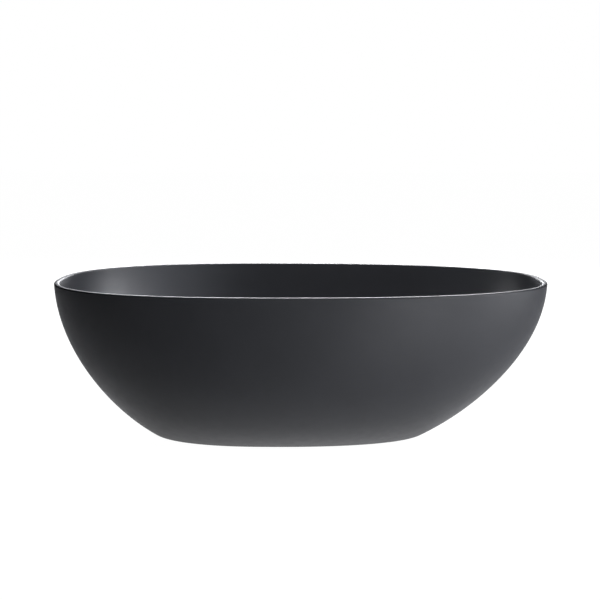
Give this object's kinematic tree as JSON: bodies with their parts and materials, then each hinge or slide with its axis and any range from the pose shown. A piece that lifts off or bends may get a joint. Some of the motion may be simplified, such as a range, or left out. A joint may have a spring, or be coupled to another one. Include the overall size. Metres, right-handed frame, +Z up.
{
  "type": "freestanding bathtub",
  "caption": "Freestanding egg-shaped double-skinned bathtub with a slim rim, a support frame on screw feet, a press-down plug waste with trap, and an overflow.",
  "frame": {"origin": "centre of the bounding box in plan, at floor level under the foot pads", "axes": "+X along the length towards the sloping, reclining end; +Y towards the back long side; +Z up"},
  "size_m": [1.7, 0.78, 0.56],
  "materials": {
    "acrylic": "matt anthracite",
    "bonding_paste": "matt grey",
    "board": "raw chipboard",
    "zinc_steel": "zinc plated",
    "black_plastic": "matt black",
    "bright_steel": "zinc plated, bright",
    "chrome": "polished chrome",
    "brass": "turned brass",
    "rubber": "black rubber",
    "white_plastic": "white polypropylene"
  },
  "bodies": {
    "tub": {"outer_shell": "acrylic", "inner_basin": "acrylic", "rim_adhesive": "bonding_paste", "base_board": "board", "frame_rail_front": "zinc_steel", "frame_rail_back": "zinc_steel", "frame_crossbar_left": "zinc_steel", "frame_crossbar_centre": "zinc_steel", "frame_crossbar_right": "zinc_steel", "rail_end_caps": "black_plastic", "frame_screws": "bright_steel", "foot_weld_nuts": "bright_steel", "foot_lock_nuts": "bright_steel", "shell_bracket_1": "zinc_steel", "shell_bracket_2": "zinc_steel", "shell_bracket_3": "zinc_steel", "shell_bracket_4": "zinc_steel", "bracket_rail_screws": "bright_steel", "bracket_skirt_screws": "bright_steel", "waste_flange": "chrome", "waste_seal_upper": "rubber", "waste_seal_lower": "rubber", "waste_nut": "brass", "plug_cartridge": "brass", "plug_spring": "bright_steel", "trap_body": "white_plastic", "trap_nut": "white_plastic", "trap_washer": "rubber", "trap_cup": "white_plastic", "trap_cup_seal": "rubber", "outlet_spigot": "white_plastic", "outlet_nut": "white_plastic", "outlet_washer": "rubber", "overflow_cover": "chrome", "overflow_flange": "chrome", "overflow_screw": "bright_steel", "overflow_seal": "rubber", "overflow_body": "white_plastic", "overflow_pipe": "white_plastic", "overflow_pipe_nut": "white_plastic", "overflow_pipe_washer": "rubber"},
    "plug": {"plug_cap": "chrome", "plug_seal": "rubber", "plug_stem": "chrome"},
    "foot_1": {"foot_pad_1": "black_plastic"},
    "stud_1": {"foot_stud_1": "bright_steel"},
    "foot_2": {"foot_pad_2": "black_plastic"},
    "stud_2": {"foot_stud_2": "bright_steel"},
    "foot_3": {"foot_pad_3": "black_plastic"},
    "stud_3": {"foot_stud_3": "bright_steel"},
    "foot_4": {"foot_pad_4": "black_plastic"},
    "stud_4": {"foot_stud_4": "bright_steel"},
    "foot_5": {"foot_pad_5": "black_plastic"},
    "stud_5": {"foot_stud_5": "bright_steel"}
  },
  "joints": [
    {"name": "plug_press", "type": "slide", "parent": "tub", "child": "plug", "axis": [0, 0, 1], "range_m": [-0.008, 0], "stiffness_N_per_m": 300, "springref_m": 0.01, "deforming": ["plug_spring"]},
    {"name": "foot_1_height", "type": "slide", "parent": "tub", "child": "foot_1", "axis": [0, 0, -1], "range_m": [0, 0.02]},
    {"name": "foot_1_turn", "type": "hinge", "parent": "foot_1", "child": "stud_1", "pos_m": [-0.35, -0.095, 0.05], "axis": [0, 0, -1], "range_deg": [0, 4114.5]},
    {"name": "foot_2_height", "type": "slide", "parent": "tub", "child": "foot_2", "axis": [0, 0, -1], "range_m": [0, 0.02]},
    {"name": "foot_2_turn", "type": "hinge", "parent": "foot_2", "child": "stud_2", "pos_m": [-0.35, 0.095, 0.05], "axis": [0, 0, -1], "range_deg": [0, 4114.5]},
    {"name": "foot_3_height", "type": "slide", "parent": "tub", "child": "foot_3", "axis": [0, 0, -1], "range_m": [0, 0.02]},
    {"name": "foot_3_turn", "type": "hinge", "parent": "foot_3", "child": "stud_3", "pos_m": [0.06, 0, 0.05], "axis": [0, 0, -1], "range_deg": [0, 4114.5]},
    {"name": "foot_4_height", "type": "slide", "parent": "tub", "child": "foot_4", "axis": [0, 0, -1], "range_m": [0, 0.02]},
    {"name": "foot_4_turn", "type": "hinge", "parent": "foot_4", "child": "stud_4", "pos_m": [0.23, -0.095, 0.05], "axis": [0, 0, -1], "range_deg": [0, 4114.5]},
    {"name": "foot_5_height", "type": "slide", "parent": "tub", "child": "foot_5", "axis": [0, 0, -1], "range_m": [0, 0.02]},
    {"name": "foot_5_turn", "type": "hinge", "parent": "foot_5", "child": "stud_5", "pos_m": [0.23, 0.095, 0.05], "axis": [0, 0, -1], "range_deg": [0, 4114.5]}
  ],
  "couplings": [
    {"joint": "foot_1_turn", "follows": "foot_1_height", "rad_per_m": 3590.4},
    {"joint": "foot_2_turn", "follows": "foot_2_height", "rad_per_m": 3590.4},
    {"joint": "foot_3_turn", "follows": "foot_3_height", "rad_per_m": 3590.4},
    {"joint": "foot_4_turn", "follows": "foot_4_height", "rad_per_m": 3590.4},
    {"joint": "foot_5_turn", "follows": "foot_5_height", "rad_per_m": 3590.4}
  ]
}
